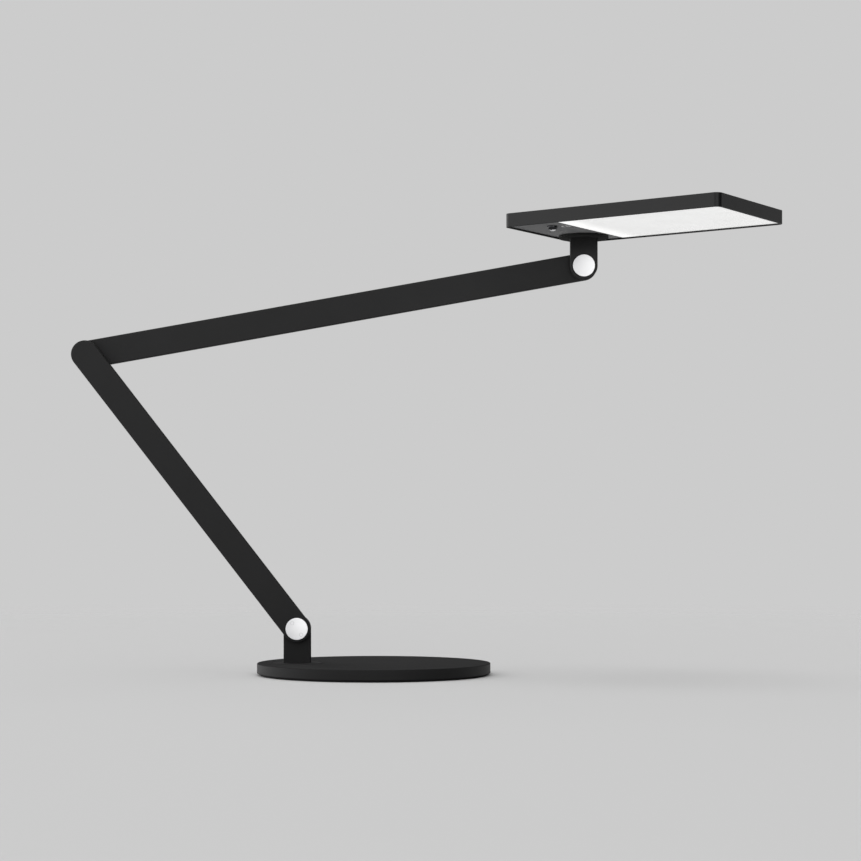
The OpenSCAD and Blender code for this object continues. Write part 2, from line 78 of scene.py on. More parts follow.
def newGroup(name, inputs, outputs):
    # inputs are (name, kind, value), outputs are (name, kind)
    tree = bpy.data.node_groups.new(name, "ShaderNodeTree")
    for label, kind, value in inputs:
        socket = tree.interface.new_socket(name=label, in_out="INPUT", socket_type=kind)
        if value is not None:
            socket.default_value = value
    for label, kind in outputs:
        tree.interface.new_socket(name=label, in_out="OUTPUT", socket_type=kind)
    return tree, tree.nodes.new("NodeGroupInput"), tree.nodes.new("NodeGroupOutput")


def feed(tree, socket, value):
    # a plain value is set on the socket, and anything else is linked to it
    if isinstance(value, (int, float, tuple)):
        socket.default_value = value
    else:
        tree.links.new(value, socket)


def mathNode(tree, operation, *values, clamp=False):
    node = tree.nodes.new("ShaderNodeMath")
    node.operation = operation
    node.use_clamp = clamp
    for slot, value in enumerate(values):
        feed(tree, node.inputs[slot], value)
    return node.outputs[0]


def noiseNode(tree, vector, scale, detail, rough=0.55):
    node = tree.nodes.new("ShaderNodeTexNoise")
    for label, value in (("Vector", vector), ("Scale", scale), ("Detail", detail), ("Roughness", rough)):
        feed(tree, node.inputs[label], value)
    return node.outputs["Fac"]


def colourMix(tree, first, second, share, blend="MIX"):
    node = tree.nodes.new("ShaderNodeMix")
    node.data_type = "RGBA"
    node.blend_type = blend
    for label, value in (("Factor", share), ("A", first), ("B", second)):
        feed(tree, node.inputs[label], value)
    return node.outputs["Result"]


def rangeNode(tree, value, limits, interpolation="SMOOTHSTEP"):
    # limits are From Min, From Max, To Min and To Max
    node = tree.nodes.new("ShaderNodeMapRange")
    node.interpolation_type = interpolation
    for label, limit in zip(("From Min", "From Max", "To Min", "To Max"), limits):
        feed(tree, node.inputs[label], limit)
    tree.links.new(value, node.inputs["Value"])
    return node.outputs["Result"]


def splitAxes(tree, vector):
    node = tree.nodes.new("ShaderNodeSeparateXYZ")
    tree.links.new(vector, node.inputs[0])
    return node.outputs


def axisRadius(tree, axes):
    # distance from the Z axis
    squares = [mathNode(tree, "MULTIPLY", axes[label], axes[label]) for label in ("X", "Y")]
    return mathNode(tree, "SQRT", mathNode(tree, "ADD", *squares))


def grainGroup():
    # fine pits and soft patches of a coated or moulded surface
    tree, given, result = newGroup(
        "surfaceGrain",
        [("Vector", "NodeSocketVector", None), ("Grain Scale", "NodeSocketFloat", 2500.0),
         ("Patch Scale", "NodeSocketFloat", 30.0)],
        [("Patch", "NodeSocketFloat"), ("Height", "NodeSocketFloat")])
    spot = given.outputs["Vector"]
    fine = given.outputs["Grain Scale"]
    grain = noiseNode(tree, spot, fine, 3.0, 0.6)
    patch = noiseNode(tree, spot, given.outputs["Patch Scale"], 4.0, 0.5)
    fleck = noiseNode(tree, spot, mathNode(tree, "MULTIPLY", fine, 0.31), 2.0)
    height = mathNode(tree, "ADD", grain, mathNode(tree, "MULTIPLY", fleck, 0.5))
    tree.links.new(patch, result.inputs["Patch"])
    tree.links.new(height, result.inputs["Height"])
    return tree


def lineGroup():
    # drawn lines that run along the Z axis of the mapped vector
    tree, given, result = newGroup(
        "drawnLines",
        [("Vector", "NodeSocketVector", None), ("Line Scale", "NodeSocketFloat", 3000.0),
         ("Stretch", "NodeSocketFloat", 0.012)],
        [("Height", "NodeSocketFloat")])
    axes = splitAxes(tree, given.outputs["Vector"])
    join = tree.nodes.new("ShaderNodeCombineXYZ")
    tree.links.new(axes["X"], join.inputs["X"])
    tree.links.new(axes["Y"], join.inputs["Y"])
    tree.links.new(mathNode(tree, "MULTIPLY", axes["Z"], given.outputs["Stretch"]), join.inputs["Z"])
    line = noiseNode(tree, join.outputs[0], given.outputs["Line Scale"], 2.0, 0.5)
    tree.links.new(line, result.inputs["Height"])
    return tree


def ringGroup():
    # turning marks round the Z axis of the mapped vector
    tree, given, result = newGroup(
        "turnedRings",
        [("Vector", "NodeSocketVector", None), ("Rings", "NodeSocketFloat", 14000.0)],
        [("Ring", "NodeSocketFloat"), ("Height", "NodeSocketFloat")])
    radius = axisRadius(tree, splitAxes(tree, given.outputs["Vector"]))
    wave = mathNode(tree, "SINE", mathNode(tree, "MULTIPLY", radius, given.outputs["Rings"]))
    join = tree.nodes.new("ShaderNodeCombineXYZ")
    tree.links.new(radius, join.inputs["X"])
    uneven = noiseNode(tree, join.outputs[0], 1600.0, 3.0, 0.6)
    height = mathNode(tree, "ADD", mathNode(tree, "MULTIPLY", wave, 0.35), uneven)
    tree.links.new(uneven, result.inputs["Ring"])
    tree.links.new(height, result.inputs["Height"])
    return tree


def dustGroup():
    # thin dust that settles on faces that look up
    tree, given, result = newGroup(
        "settledDust",
        [("Color", "NodeSocketColor", (0.5, 0.5, 0.5, 1)), ("Vector", "NodeSocketVector", None),
         ("Dust Color", "NodeSocketColor", (0.3, 0.29, 0.28, 1)), ("Amount", "NodeSocketFloat", 0.02)],
        [("Color", "NodeSocketColor")])
    facing = tree.nodes.new("ShaderNodeNewGeometry")
    upward = mathNode(tree, "SUBTRACT", splitAxes(tree, facing.outputs["Normal"])["Z"], 0.2, clamp=True)
    specks = noiseNode(tree, given.outputs["Vector"], 900.0, 4.0, 0.7)
    settled = mathNode(tree, "MULTIPLY", upward, specks)
    share = mathNode(tree, "MULTIPLY", settled, given.outputs["Amount"], clamp=True)
    dusty = colourMix(tree, given.outputs["Color"], given.outputs["Dust Color"], share)
    tree.links.new(dusty, result.inputs["Color"])
    return tree


def fadeGroup():
    # 1 up to the first distance and 0 past the second, round the Z axis or along X
    tree, given, result = newGroup(
        "fadeOut",
        [("Vector", "NodeSocketVector", None), ("Along X", "NodeSocketFloat", 0.0),
         ("Start", "NodeSocketFloat", 0.001), ("End", "NodeSocketFloat", 0.002)],
        [("Share", "NodeSocketFloat")])
    axes = splitAxes(tree, given.outputs["Vector"])
    pick = tree.nodes.new("ShaderNodeMix")
    tree.links.new(given.outputs["Along X"], pick.inputs["Factor"])
    tree.links.new(axisRadius(tree, axes), pick.inputs["A"])
    tree.links.new(axes["X"], pick.inputs["B"])
    limits = (given.outputs["Start"], given.outputs["End"], 1.0, 0.0)
    share = rangeNode(tree, pick.outputs["Result"], limits)
    tree.links.new(share, result.inputs["Share"])
    return tree


groups = {"grain": grainGroup(), "lines": lineGroup(), "rings": ringGroup(), "dust": dustGroup(),
          "fade": fadeGroup()}
print("shader groups built")

# ---- finishes, one for each slot of the record ----

finishes = {
    "base_black": {"dark": (0.005, 0.005, 0.0052), "light": (0.007, 0.007, 0.0073), "rough": (0.5, 0.56),
                   "topRough": 0.4, "grain": 2600.0, "patch": 25.0, "bump": 0.25, "depth": 0.00006,
                   "specular": 0.23, "dust": 0.004},
    "arm_black": {"dark": (0.006, 0.006, 0.0062), "light": (0.0085, 0.0085, 0.0088),
                  "rough": (0.58, 0.66), "grain": 3200.0, "patch": 20.0, "bump": 0.12, "depth": 0.00004,
                  "specular": 0.28, "dust": 0.006},
    "head_black": {"dark": (0.004, 0.004, 0.0042), "light": (0.0055, 0.0055, 0.0058),
                   "rough": (0.34, 0.4), "grain": 3000.0, "patch": 22.0, "bump": 0.12, "depth": 0.00004,
                   "specular": 0.27, "dust": 0.006},
    "cap_bright": {"dark": (0.93, 0.93, 0.94), "light": (0.98, 0.98, 0.985), "rough": (0.38, 0.42),
                   "metal": 1.0, "grain": 5000.0, "patch": 60.0, "bump": 0.03, "depth": 0.00001,
                   "rings": 26000.0},
    "steel_zinc": {"dark": (0.48, 0.49, 0.51), "light": (0.66, 0.66, 0.66), "rough": (0.28, 0.42),
                   "metal": 1.0, "grain": 4000.0, "patch": 220.0, "bump": 0.15, "depth": 0.00003},
    "cast_iron": {"dark": (0.09, 0.09, 0.095), "light": (0.2, 0.2, 0.205), "rough": (0.6, 0.8),
                  "metal": 0.7, "grain": 700.0, "patch": 60.0, "bump": 0.6, "depth": 0.0003},
    "foot_rubber": {"dark": (0.011, 0.011, 0.011), "light": (0.018, 0.018, 0.018), "rough": (0.75, 0.9),
                    "grain": 1800.0, "patch": 40.0, "bump": 0.5, "depth": 0.0001, "specular": 0.25},
    "acetal": {"dark": (0.66, 0.62, 0.53), "light": (0.78, 0.75, 0.66), "rough": (0.35, 0.45),
               "grain": 2400.0, "patch": 90.0, "bump": 0.15, "depth": 0.00004},
    "friction_fibre": {"dark": (0.42, 0.37, 0.27), "light": (0.62, 0.56, 0.44), "rough": (0.8, 0.95),
                       "grain": 3500.0, "patch": 500.0, "bump": 0.6, "depth": 0.0001},
    "lead_black": {"dark": (0.016, 0.016, 0.017), "light": (0.03, 0.03, 0.031), "rough": (0.5, 0.65),
                   "grain": 2200.0, "patch": 120.0, "bump": 0.3, "depth": 0.00008},
    "inlet_black": {"dark": (0.012, 0.012, 0.013), "light": (0.022, 0.022, 0.023), "rough": (0.45, 0.6),
                    "grain": 5000.0, "patch": 200.0, "bump": 0.3, "depth": 0.00005},
    "panel_grey": {"dark": (0.15, 0.15, 0.152), "light": (0.18, 0.18, 0.183), "rough": (0.42, 0.5),
                   "grain": 4200.0, "patch": 35.0, "bump": 0.08, "depth": 0.00003, "specular": 0.4},
    "button_chrome": {"dark": (0.74, 0.74, 0.75), "light": (0.8, 0.8, 0.81), "rough": (0.05, 0.09),
                      "metal": 1.0, "grain": 3000.0, "patch": 150.0, "bump": 0.01, "depth": 0.00001},
    "diffuser_opal": {"dark": (0.86, 0.86, 0.855), "light": (0.9, 0.9, 0.895), "rough": (0.4, 0.5),
                      "grain": 5200.0, "patch": 30.0, "bump": 0.08, "depth": 0.00003, "glow": 0.38},
    "frame_white": {"dark": (0.82, 0.82, 0.8), "light": (0.88, 0.88, 0.86), "rough": (0.45, 0.55),
                    "grain": 2600.0, "patch": 80.0, "bump": 0.15, "depth": 0.00004},
    "board_white": {"dark": (0.8, 0.8, 0.77), "light": (0.87, 0.87, 0.84), "rough": (0.3, 0.4),
                    "grain": 3000.0, "patch": 300.0, "bump": 0.2, "depth": 0.00004},
    "board_green": {"dark": (0.014, 0.075, 0.04), "light": (0.03, 0.12, 0.065), "rough": (0.25, 0.4),
                    "grain": 3000.0, "patch": 420.0, "bump": 0.3, "depth": 0.00006},
    "led_yellow": {"dark": (0.78, 0.66, 0.2), "light": (0.88, 0.78, 0.32), "rough": (0.2, 0.35),
                   "grain": 4000.0, "patch": 600.0, "bump": 0.2, "depth": 0.00005},
}


def placeGroup(tree, kind, values):
    node = tree.nodes.new("ShaderNodeGroup")
    node.node_tree = groups[kind]
    for label, value in values.items():
        feed(tree, node.inputs[label], value)
    return node.outputs


patchSpread = (0.3, 0.7)   # the patch noise stays between these


def makeFinish(name, look, centre=(0, 0, 0), turn=(0, 0, 0)):
    # centre and turn put the pattern's own origin and axes on a piece
    material = bpy.data.materials.new(name)
    material.use_nodes = True
    tree = material.node_tree
    shader = tree.nodes["Principled BSDF"]
    coords = tree.nodes.new("ShaderNodeTexCoord")
    mapping = tree.nodes.new("ShaderNodeMapping")
    mapping.vector_type = "TEXTURE"
    mapping.inputs["Location"].default_value = centre
    mapping.inputs["Rotation"].default_value = turn
    tree.links.new(coords.outputs["Object"], mapping.inputs["Vector"])
    spot = mapping.outputs["Vector"]
    scales = {"Grain Scale": look["grain"], "Patch Scale": look["patch"]}
    grain = placeGroup(tree, "grain", {"Vector": spot, **scales})
    tone = grain["Patch"]
    height = grain["Height"]
    if "rings" in look:
        rings = placeGroup(tree, "rings", {"Vector": spot, "Rings": look["rings"]})
        tone = rings["Ring"]
        height = rings["Height"]
    if "lines" in look:
        lines = placeGroup(tree, "lines", {"Vector": spot, "Line Scale": look["lines"]})
        height = mathNode(tree, "ADD", height, lines["Height"])
    colour = colourMix(tree, (*look["dark"], 1), (*look["light"], 1), tone)
    if "dust" in look:
        dusty = placeGroup(tree, "dust", {"Color": colour, "Vector": spot, "Amount": look["dust"]})
        colour = dusty["Color"]
    if "fade" in look:
        # painted shade and reflection: a fade from the painted colour to the finish, as the start, the end and 1
        # for along X
        first, last, along = look["fade"]
        fade = placeGroup(tree, "fade", {"Vector": spot, "Start": first, "End": last, "Along X": along})
        colour = colourMix(tree, colour, (*look["fadeColour"], 1), fade["Share"])
    tree.links.new(colour, shader.inputs["Base Color"])
    rough = rangeNode(tree, grain["Patch"], (*patchSpread, *look["rough"]), "LINEAR")
    if "topRough" in look:
        # rougher on level faces
        facing = tree.nodes.new("ShaderNodeNewGeometry")
        level = mathNode(tree, "ABSOLUTE", splitAxes(tree, facing.outputs["Normal"])["Z"])
        extra = mathNode(tree, "MULTIPLY", level, look["topRough"])
        rough = mathNode(tree, "ADD", rough, extra, clamp=True)
    tree.links.new(rough, shader.inputs["Roughness"])
    bump = tree.nodes.new("ShaderNodeBump")
    bump.inputs["Strength"].default_value = look["bump"]
    bump.inputs["Distance"].default_value = look["depth"]
    tree.links.new(height, bump.inputs["Height"])
    tree.links.new(bump.outputs["Normal"], shader.inputs["Normal"])
    shader.inputs["Metallic"].default_value = look.get("metal", 0.0)
    shader.inputs["Specular IOR Level"].default_value = look.get("specular", 0.5)
    if "glow" in look:
        glowColour = colour
        if "glowZone" in look:
            # brighter up to the first distance along X, by the share given last
            first, last, gain = look["glowZone"]
            zone = placeGroup(tree, "fade", {"Vector": spot, "Along X": 1.0, "Start": first, "End": last})
            brighter = mathNode(tree, "ADD", mathNode(tree, "MULTIPLY", zone["Share"], gain), 1.0)
            glowColour = colourMix(tree, colour, brighter, 1.0, "MULTIPLY")
        tree.links.new(glowColour, shader.inputs["Emission Color"])
        shader.inputs["Emission Strength"].default_value = look["glow"]
    return material


materials = {slot: makeFinish(slot, look) for slot, look in finishes.items()}
print("finishes made:", len(materials))

for part in record["subparts"]:
    node = frame["nodes"][part["node"]]
    for holder in node.material_slots:
        holder.material = materials[part["material_slot"]]

# ---- shape tools ----

overrun = 1 * mm     # how far a cutter or a joined shape runs past a face
sharpAngle = 32      # edges sharper than this stay sharp, in degrees
stripSegments = 72
boxSegments = 48


def stackRings(bm, rings, segments=96, place=Matrix.Identity(4)):
    # rings of (radius, height), bridged in order and closed at both ends
    loops = []
    for radius, height in rings:
        spot = place @ Matrix.Translation((0, 0, height))
        made = bmesh.ops.create_circle(bm, cap_ends=False, segments=segments, radius=radius, matrix=spot)
        loops.append(list({edge for vert in made["verts"] for edge in vert.link_edges}))
    joinLoops(bm, loops)


def joinLoops(bm, loops):
    for first, second in zip(loops, loops[1:]):
        bmesh.ops.bridge_loops(bm, edges=first + second)
    bmesh.ops.contextual_create(bm, geom=loops[0])
    bmesh.ops.contextual_create(bm, geom=loops[-1])


def roundSteps(radius, steps=4):
    # (inset, drop) pairs of a rounded edge, from the face to the side
    turns = [math.radians(90) * i / steps for i in range(steps + 1)]
    return [(radius * (1 - math.sin(turn)), radius * (1 - math.cos(turn))) for turn in turns]


def stripLoop(bm, width, start, length, depth, squareEnd=False):
    # a strip with round ends, along Z in the XZ plane
    halfStep = math.pi / stripSegments
    upright = Matrix.Rotation(math.radians(90), 4, "X") @ Matrix.Rotation(halfStep, 4, "Z")
    made = bmesh.ops.create_circle(bm, cap_ends=False, segments=stripSegments,
                                   radius=width / 2 / math.cos(halfStep),
                                   matrix=Matrix.Translation((0, depth, 0)) @ upright)
    for vert in made["verts"]:
        if vert.co.z > 0:
            vert.co.z = length if squareEnd else vert.co.z + length
        else:
            vert.co.z += start
    return list({edge for vert in made["verts"] for edge in vert.link_edges})


def barShape(bm, width, start, length, front, rear, edge, squareEnd=False):
    # a flat bar from the front to the rear depth, with its long edges rounded
    loops = []
    steps = roundSteps(edge) if edge else [(0, 0)]
    for inset, drop in steps:
        loops.append(stripLoop(bm, width - 2 * inset, start, length, front + drop, squareEnd))
    for inset, drop in reversed(steps):
        loops.append(stripLoop(bm, width - 2 * inset, start, length, rear - drop, squareEnd))
    joinLoops(bm, loops)


def boxLoop(bm, corners, radius, height):
    # a rectangle with round corners, in the XY plane
    x0, y0, x1, y1 = corners
    halfStep = math.pi / boxSegments
    spot = Matrix.Translation((0, 0, height)) @ Matrix.Rotation(halfStep, 4, "Z")
    made = bmesh.ops.create_circle(bm, cap_ends=False, segments=boxSegments,
                                   radius=radius / math.cos(halfStep), matrix=spot)
    for vert in made["verts"]:
        vert.co.x += x1 - radius if vert.co.x > 0 else x0 + radius
        vert.co.y += y1 - radius if vert.co.y > 0 else y0 + radius
    return list({edge for vert in made["verts"] for edge in vert.link_edges})


def meshFrom(name, bm, place=Matrix.Identity(4)):
    bmesh.ops.remove_doubles(bm, verts=bm.verts, dist=1e-7)
    bmesh.ops.recalc_face_normals(bm, faces=bm.faces)
    bmesh.ops.transform(bm, matrix=place, verts=bm.verts)
    mesh = bpy.data.meshes.new(name)
    bm.to_mesh(mesh)
    bm.free()
    piece = bpy.data.objects.new(name, mesh)
    scene.collection.objects.link(piece)
    return piece


def combine(piece, tool, operation):
    # the tool object is used up by the cut or the join
    step = piece.modifiers.new("combine", "BOOLEAN")
    step.object = tool
    step.operation = operation
    step.solver = "EXACT"
    bpy.context.view_layer.update()
    graph = bpy.context.evaluated_depsgraph_get()
    mesh = bpy.data.meshes.new_from_object(piece.evaluated_get(graph))
    mesh.name = piece.name
    piece.modifiers.clear()
    piece.data = mesh
    bpy.data.objects.remove(tool)


def finishPiece(piece, body, material, replaced=()):
    piece.data.materials.clear()
    piece.data.materials.append(material)
    piece.data.shade_smooth()
    piece.data.set_sharp_from_angle(angle=math.radians(sharpAngle))
    even = piece.modifiers.new("evenShading", "WEIGHTED_NORMAL")
    even.keep_sharp = True
    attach(piece, body)
    if replaced:
        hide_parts(*replaced)
    print(piece.name, "done,", len(piece.data.polygons), "faces")


toFront = Matrix.Rotation(math.radians(90), 4, "X")   # local Z looks out of the front
toRear = Matrix.Rotation(math.radians(-90), 4, "X")

backLayer = [corner.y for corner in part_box("upper_arm_bar")]
frontLayer = [corner.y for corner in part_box("lower_arm_bar")]
armWidth = 27 * mm
shoulder, elbow, tilt, neck = [pivots[name] for name in ("shoulder", "elbow", "head_tilt", "head_swivel")]


def alongArm(start, end):
    reach = end - start
    return Matrix.Translation(start) @ Matrix.Rotation(math.atan2(reach.x, reach.z), 4, "Y")


lowerPlace = alongArm(shoulder, elbow)
upperPlace = alongArm(elbow, tilt)
lowerLength = (elbow - shoulder).length
upperLength = (tilt - elbow).length

# ---- base ----

base = {"edge": 0.8 * mm, "wall": 2.5 * mm, "discGap": 0.4 * mm, "lip": 0.25 * mm, "inletHole": 3.3 * mm,
        "inletReach": 4 * mm}
swivel = {"disc": 24.4 * mm, "edge": 0.35 * mm, "thick": 2.0 * mm, "stem": 7 * mm}


def buildBase(look):
    low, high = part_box("base_shell")
    radius = high.x
    inner = radius - look["wall"]
    roof = high.z - look["wall"]
    hole = swivel["disc"] + look["discGap"]
    rings = [(inner, roof), (inner, low.z)]
    rings += [(radius - inset, low.z + drop) for inset, drop in roundSteps(look["edge"])]
    rings += [(radius - inset, high.z - drop) for inset, drop in reversed(roundSteps(look["edge"]))]
    bm = bmesh.new()
    stackRings(bm, rings, segments=192)
    shell = meshFrom("baseShell", bm)
    bm = bmesh.new()
    stackRings(bm, [(hole, roof - overrun), (hole, high.z - look["lip"]), (hole + look["lip"], high.z),
                    (hole + look["lip"], high.z + overrun)], segments=128)
    combine(shell, meshFrom("discHole", bm, Matrix.Translation((shoulder.x, 0, 0))), "DIFFERENCE")
    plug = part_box("power_inlet")
    bm = bmesh.new()
    reach = look["inletReach"]
    stackRings(bm, [(look["inletHole"], -reach), (look["inletHole"], reach)], segments=48)
    middle = Vector((0, radius, (plug[0].z + plug[1].z) / 2))
    combine(shell, meshFrom("inletHole", bm, Matrix.Translation(middle) @ toRear), "DIFFERENCE")
    finishPiece(shell, "base", materials["base_black"], ["base_shell"])


buildBase(base)

# ---- post and arms ----

seat = {"radius": 11.3 * mm, "flare": 0.2 * mm, "front": 1.6 * mm, "elbow": 2.6 * mm, "cup": 3.0 * mm}
arm = {"edge": 1.2 * mm, "coverWidth": 18 * mm, "coverDepth": 1.2 * mm, "coverStart": 24 * mm}


def capSeat(bm, place, depth):
    # the round recess that a pivot cap sits in, flared at the face
    radius = seat["radius"]
    flare = seat["flare"]
    rings = [(radius, -depth), (radius, -flare), (radius + flare, 0), (radius + flare, overrun)]
    stackRings(bm, rings, segments=96, place=place)


def coverSeat(bm, length, rear):
    # the long recess for the cover strip
    start = arm["coverStart"]
    barShape(bm, arm["coverWidth"], start, length - start, rear - arm["coverDepth"], rear + overrun, 0)


def buildPost():
    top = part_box("base_shell")[1].z
    bm = bmesh.new()
    # the tab hangs down from the pivot, round end up
    reach = shoulder.z - top + overrun
    barShape(bm, armWidth, 0, reach, backLayer[0], backLayer[1], arm["edge"], squareEnd=True)
    tab = meshFrom("swivelPost", bm, Matrix.Translation(shoulder) @ Matrix.Rotation(math.pi, 4, "Y"))
    bm = bmesh.new()
    under = top - swivel["thick"]
    rings = [(swivel["disc"] - inset, top - drop) for inset, drop in roundSteps(swivel["edge"], 3)]
    rings += [(swivel["disc"], under), (swivel["stem"], under), (swivel["stem"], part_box("post")[0].z)]
    stackRings(bm, rings, segments=128)
    combine(tab, meshFrom("swivelDisc", bm, Matrix.Translation((shoulder.x, 0, 0))), "UNION")
    bm = bmesh.new()
    capSeat(bm, Matrix.Translation((0, backLayer[1], 0)) @ toRear, seat["cup"])
    combine(tab, meshFrom("nutCup", bm, Matrix.Translation(shoulder)), "DIFFERENCE")
    finishPiece(tab, "post_assembly", armFinish["post"], ["post"])


def buildLowerArm():
    bm = bmesh.new()
    barShape(bm, armWidth, 0, lowerLength, frontLayer[0], frontLayer[1], arm["edge"])
    bar = meshFrom("lowerArm", bm, lowerPlace)
    bm = bmesh.new()
    capSeat(bm, Matrix.Translation((0, frontLayer[0], 0)) @ toFront, seat["front"])
    coverSeat(bm, lowerLength, frontLayer[1])
    combine(bar, meshFrom("lowerCuts", bm, lowerPlace), "DIFFERENCE")
    finishPiece(bar, "lower_arm", armFinish["lower"], ["lower_arm_bar"])


def buildUpperArm():
    bm = bmesh.new()
    barShape(bm, armWidth, 0, upperLength, backLayer[0], backLayer[1], arm["edge"])
    bar = meshFrom("upperArm", bm, upperPlace)
    bm = bmesh.new()
    capSeat(bm, Matrix.Translation((0, backLayer[1], 0)) @ toRear, seat["elbow"])
    capSeat(bm, Matrix.Translation((0, backLayer[1], upperLength)) @ toRear, seat["cup"])
    coverSeat(bm, upperLength, backLayer[1])
    combine(bar, meshFrom("upperCuts", bm, upperPlace), "DIFFERENCE")
    finishPiece(bar, "upper_arm", armFinish["upper"], ["upper_arm_bar"])


armLook = dict(finishes["arm_black"], lines=3600.0)
armFinish = {
    "post": makeFinish("postBlack", armLook, tuple(shoulder)),
    "lower": makeFinish("lowerArmBlack", armLook, tuple(shoulder), tuple(lowerPlace.to_euler())),
    "upper": makeFinish("upperArmBlack", armLook, tuple(elbow), tuple(upperPlace.to_euler())),
}
buildPost()
buildLowerArm()
buildUpperArm()

# ---- pivot caps ----

# the last two values are the colour and the reach of the painted shade at each cap's left
cap = {"radius": 10.85 * mm, "proud": 0.45 * mm, "edge": 0.25 * mm, "crown": 0.15 * mm, "deep": 1.4 * mm,
       "steps": (0.06, 0.2, 0.4, 0.6, 0.8, 0.93, 1.0), "shaft": 5 * mm, "leftShade": (0.76, 0.76, 0.77),
       "leftShadeEnd": 0.8}
spanner = {"reach": 7.2 * mm, "hole": 1.9 * mm, "depth": 0.5 * mm, "pin": 1.58 * mm, "pinRoot": 0.2 * mm,
           "pinBelow": 0.1 * mm, "ring": 1.88 * mm, "ringTop": 0.1 * mm, "ringEdge": 0.05 * mm}


def spannerPair(name, rings, place):
    # the same round shape at both spanner holes of a cap
    bm = bmesh.new()
    for side in (-1, 1):
        spot = Matrix.Translation((0, side * spanner["reach"], 0))
        stackRings(bm, rings, segments=32, place=spot)
    return meshFrom(name, bm, place)


def buildSpannerHoles(piece, place, body):
    # filled holes: a pin in each, and a zinc ring round it whose grey draws the hole's thin outline as painted
    # shade
    foot = -spanner["depth"]
    combine(piece, spannerPair("spannerHoles", [(spanner["hole"], foot), (spanner["hole"], overrun)], place),
            "DIFFERENCE")
    pinTop = cap["proud"] - spanner["pinBelow"]
    pins = [(spanner["pin"], foot - spanner["pinRoot"]), (spanner["pin"], pinTop)]
    combine(piece, spannerPair("spannerPins", pins, place), "UNION")
    ring, top, edge = spanner["ring"], spanner["ringTop"], spanner["ringEdge"]
    rings = spannerPair("spannerShadeRings", [(ring, foot), (ring, top - edge), (ring - edge, top)], place)
    finishPiece(rings, body, materials["steel_zinc"])


def buildCap(name, place, surface, facing, body, replaced, holes=False, shaft=0.0, tone=1.0):
    # surface is the arm's face, facing turns local Z out of it, and tone darkens the whole cap as painted shade
    rim = cap["radius"] - cap["edge"]
    edgeTop = cap["proud"] - cap["crown"]
    rings = [(rim * share, cap["proud"] - cap["crown"] * share * share) for share in cap["steps"]]
    rings += [(cap["radius"] - inset, edgeTop - drop) for inset, drop in roundSteps(cap["edge"])[1:]]
    rings += [(cap["radius"], -cap["deep"])]
    if shaft:
        rings += [(cap["shaft"], -cap["deep"]), (cap["shaft"], -shaft)]
    bm = bmesh.new()
    stackRings(bm, rings, segments=96)
    whole = place @ Matrix.Translation((0, surface, 0)) @ facing
    piece = meshFrom(name, bm, whole)
    if holes:
        buildSpannerHoles(piece, whole, body)
    # painted shade: darker at the left as seen from the cap's own face
    shade = dict(finishes["cap_bright"], fade=(-cap["radius"], cap["radius"] * cap["leftShadeEnd"], 1.0),
                 fadeColour=cap["leftShade"])
    for label in ("dark", "light", "fadeColour"):
        shade[label] = tuple(value * tone for value in shade[label])
    level = Matrix.Rotation(math.pi, 4, "Z") @ facing if facing == toRear else facing
    turnedAndShaded = makeFinish(name + "TurnedShaded", shade, tuple(whole.to_translation()), tuple(level.to_euler()))
    finishPiece(piece, body, turnedAndShaded, replaced)


wristPlace = Matrix.Translation(tilt)
buildCap("shoulderCap", lowerPlace, frontLayer[0], toFront, "lower_arm", ["shoulder_bolt"], holes=True,
         shaft=13 * mm)
buildCap("shoulderNutCap", lowerPlace, backLayer[1], toRear, "lower_arm", ["shoulder_nut"])
buildCap("elbowCap", upperPlace, backLayer[1], toRear, "lower_arm", ["elbow_bolt"], shaft=12 * mm)
# the tilt cap gets a darker tone, painted shade
buildCap("tiltCap", wristPlace, frontLayer[0], toFront, "bracket_assembly", ["tilt_cap"], tone=0.77)
buildCap("tiltNutCap", wristPlace, backLayer[1], toRear, "bracket_assembly", ["tilt_nut"])

# ---- head bracket ----

# the last value holds the start, the end and the along-X switch of the painted shade on the tab
bracket = {"flange": 24.4 * mm, "flangeTop": 1.2 * mm, "flangeBottom": -1.1 * mm, "flangeEdge": 0.5 * mm,
           "collar": 8.5 * mm, "collarTop": 3.9 * mm, "neck": 6 * mm, "fade": (4 * mm, 22 * mm, 1.0)}
headTurn = math.radians(-34.65)      # the head's turn on the bracket
headPlace = Matrix.Translation(neck) @ Matrix.Rotation(headTurn, 4, "Z")


def buildBracket(look):
    bm = bmesh.new()
    height = neck.z - tilt.z + look["flangeBottom"] + overrun
    barShape(bm, armWidth, 0, height, frontLayer[0], frontLayer[1], arm["edge"], squareEnd=True)
    tab = meshFrom("headBracket", bm, wristPlace)
    bm = bmesh.new()
    steps = roundSteps(look["flangeEdge"], 3)
    rings = [(look["flange"] - inset, look["flangeBottom"] + drop) for inset, drop in steps]
    rings += [(look["flange"] - inset, look["flangeTop"] - drop) for inset, drop in reversed(steps)]
    rings += [(look["collar"], look["flangeTop"]), (look["collar"], look["collarTop"])]
    rings += [(look["neck"], look["collarTop"]), (look["neck"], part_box("neck_nut")[1].z - neck.z)]
    stackRings(bm, rings, segments=128)
    combine(tab, meshFrom("flange", bm, headPlace), "UNION")
    bm = bmesh.new()
    capSeat(bm, Matrix.Translation((0, frontLayer[0], 0)) @ toFront, seat["front"])
    combine(tab, meshFrom("bracketCut", bm, wristPlace), "DIFFERENCE")
    # painted shade: deep black by the flange, where the head hangs over the tab, and a little lighter towards the
    # pivot; X points down here
    tabLookShaded = dict(finishes["arm_black"], dark=(0.013, 0.013, 0.0132), light=(0.016, 0.016, 0.0163),
                   specular=0.22, topRough=0.35, fade=look["fade"], fadeColour=(0.001, 0.001, 0.001))
    finish = makeFinish("bracketBlackShaded", tabLookShaded, tuple(neck), (0, math.radians(90), 0))
    finishPiece(tab, "bracket_assembly", finish, ["head_bracket"])


